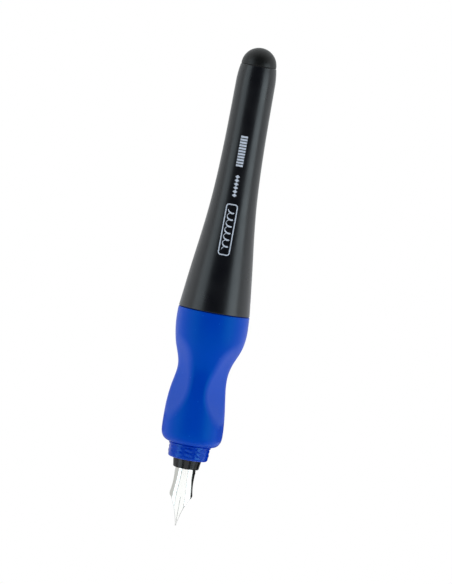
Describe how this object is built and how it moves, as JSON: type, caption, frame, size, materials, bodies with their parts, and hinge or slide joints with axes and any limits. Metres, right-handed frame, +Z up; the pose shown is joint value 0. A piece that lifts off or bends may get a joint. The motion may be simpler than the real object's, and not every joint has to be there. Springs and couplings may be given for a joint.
{
  "type": "dip pen holder",
  "caption": "Dip pen holder with a tapered barrel, domed tail plug, scooped rubber grip, cap collar and a slit pointed nib in a fluted insert.",
  "frame": {"origin": "on the pen's axis, on the front face of the rubber grip, where the cap seats", "axes": "+X along the pen's axis towards the nib's point; +Z up with the pen lying on a desk, through the grip's upper ridge and the nib's rounded side"},
  "size_m": [0.1625, 0.0245, 0.0245],
  "materials": {
    "nib_steel": "polished",
    "spring_steel": "satin",
    "insert_plastic": "gloss",
    "collar_plastic": "gloss",
    "core_plastic": "satin",
    "grip_rubber": "soft satin",
    "barrel_plastic": "satin",
    "plug_plastic": "matte"
  },
  "bodies": {
    "holder": {"grip_core": "core_plastic", "cap_collar": "collar_plastic", "grip_sleeve": "grip_rubber", "barrel": "barrel_plastic"},
    "insert": {"nib_insert": "insert_plastic", "nib_spring": "spring_steel"},
    "nib": {"nib": "nib_steel"},
    "tail_plug": {"tail_plug": "plug_plastic"}
  },
  "joints": [
    {"name": "insert_pull", "type": "slide", "parent": "holder", "child": "insert", "axis": [1, 0, 0], "range_m": [0, 0.0175]},
    {"name": "nib_pull", "type": "slide", "parent": "insert", "child": "nib", "axis": [1, 0, 0], "range_m": [0, 0.0155]},
    {"name": "tail_plug_pull", "type": "slide", "parent": "holder", "child": "tail_plug", "axis": [-1, 0, 0], "range_m": [0, 0.0075]}
  ]
}
